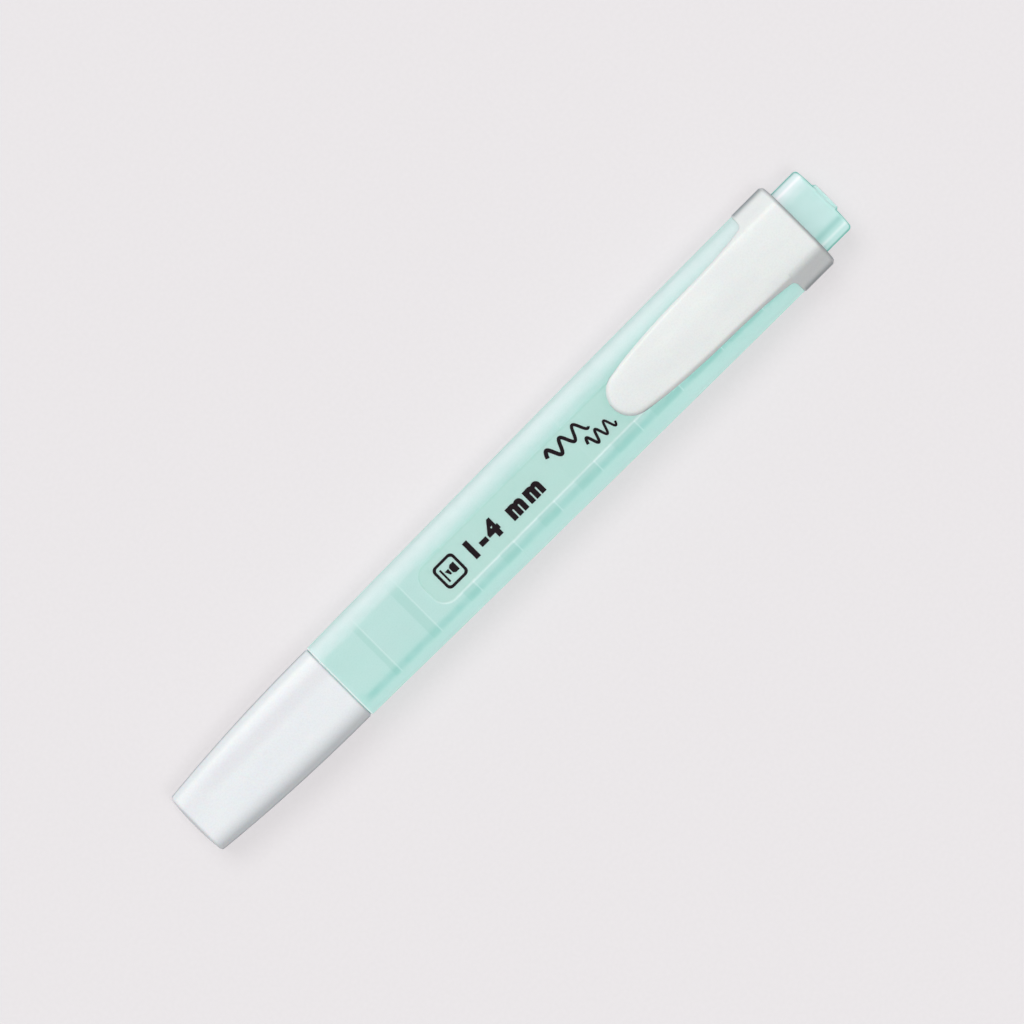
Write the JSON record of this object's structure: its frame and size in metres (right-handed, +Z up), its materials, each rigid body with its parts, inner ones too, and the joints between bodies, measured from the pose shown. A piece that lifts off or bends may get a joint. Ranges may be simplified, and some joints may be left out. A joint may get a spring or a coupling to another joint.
{
  "type": "highlighter",
  "caption": "Pocket highlighter with a flat-oval translucent barrel, a tapered pull-off cap, a slanted felt nib and a springy pocket clip.",
  "frame": {"origin": "on the flat resting face, under the middle of the pen's overall length and width", "axes": "+X from the closed end of the cap to the end plug, +Y across the broad face, +Z up through the clip"},
  "size_m": [0.126, 0.015, 0.0134],
  "materials": {
    "tinted_plastic": "translucent pastel mint, gloss",
    "plug_plastic": "translucent pastel mint, gloss",
    "cap_plastic": "light cool grey, satin",
    "clip_plastic": "light cool grey, satin",
    "liner_plastic": "soft natural white",
    "nib_fibre": "ink-soaked felt",
    "reservoir_fibre": "ink-soaked fibre",
    "film": "clear film"
  },
  "bodies": {
    "pen_body": {"barrel": "tinted_plastic", "front_section": "tinted_plastic", "nib": "nib_fibre", "ink_reservoir": "reservoir_fibre", "reservoir_film": "film", "end_plug": "plug_plastic", "clip_collar": "clip_plastic"},
    "cap": {"cap_shell": "cap_plastic", "cap_liner": "liner_plastic"},
    "clip": {"clip_tongue": "clip_plastic"}
  },
  "joints": [
    {"name": "cap_pull", "type": "slide", "parent": "pen_body", "child": "cap", "axis": [-1, 0, 0], "range_m": [0, 0.045]},
    {"name": "clip_flex", "type": "hinge", "parent": "pen_body", "child": "clip", "pos_m": [0.0502, 0, 0.01265], "axis": [0, 1, 0], "range_deg": [0, 6], "stiffness_Nm_per_rad": 0.02}
  ]
}
